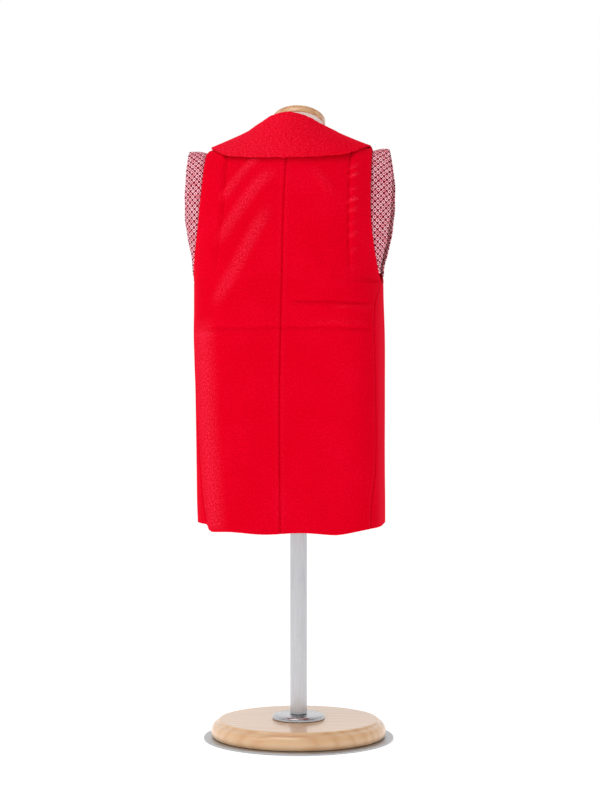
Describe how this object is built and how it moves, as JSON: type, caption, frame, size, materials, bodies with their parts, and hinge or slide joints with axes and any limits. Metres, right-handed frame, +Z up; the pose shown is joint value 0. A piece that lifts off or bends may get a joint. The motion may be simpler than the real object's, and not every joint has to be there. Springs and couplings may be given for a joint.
{
  "type": "hifu vest on a dress form",
  "caption": "Child's sleeveless over-vest for formal wear with a wide turned-down collar and patterned armhole strips, worn open at the hem on a limbless dress form with a round stand.",
  "frame": {"origin": "centre of the vest's width and of the stand's depth, on the underside of the round plate", "axes": "+Z up, -Y out of the back of the vest (the side the picture shows), +X to the wearer's right"},
  "size_m": [0.2661, 0.246, 0.8186],
  "materials": {
    "crepe": "fine red crepe, soft low sheen",
    "dappled_crepe": "crimson crepe covered in small white tie-dyed squares",
    "form_cover": "plain off-white knit cover, stretched smooth",
    "beech": "pale turned wood under clear gloss varnish",
    "steel": "bright plated steel tube",
    "plate_steel": "grey satin steel sheet"
  },
  "bodies": {
    "root": {"back_left": "crepe", "back_right": "crepe", "front_left": "crepe", "front_right": "crepe", "front_band_left": "crepe", "front_band_right": "crepe", "collar": "crepe", "armhole_strip_left": "dappled_crepe", "armhole_strip_right": "dappled_crepe", "form_torso": "form_cover", "form_neck_cap": "beech", "stand_pole": "steel", "stand_flange": "steel", "stand_base": "beech", "stand_plate": "plate_steel"}
  },
  "joints": []
}
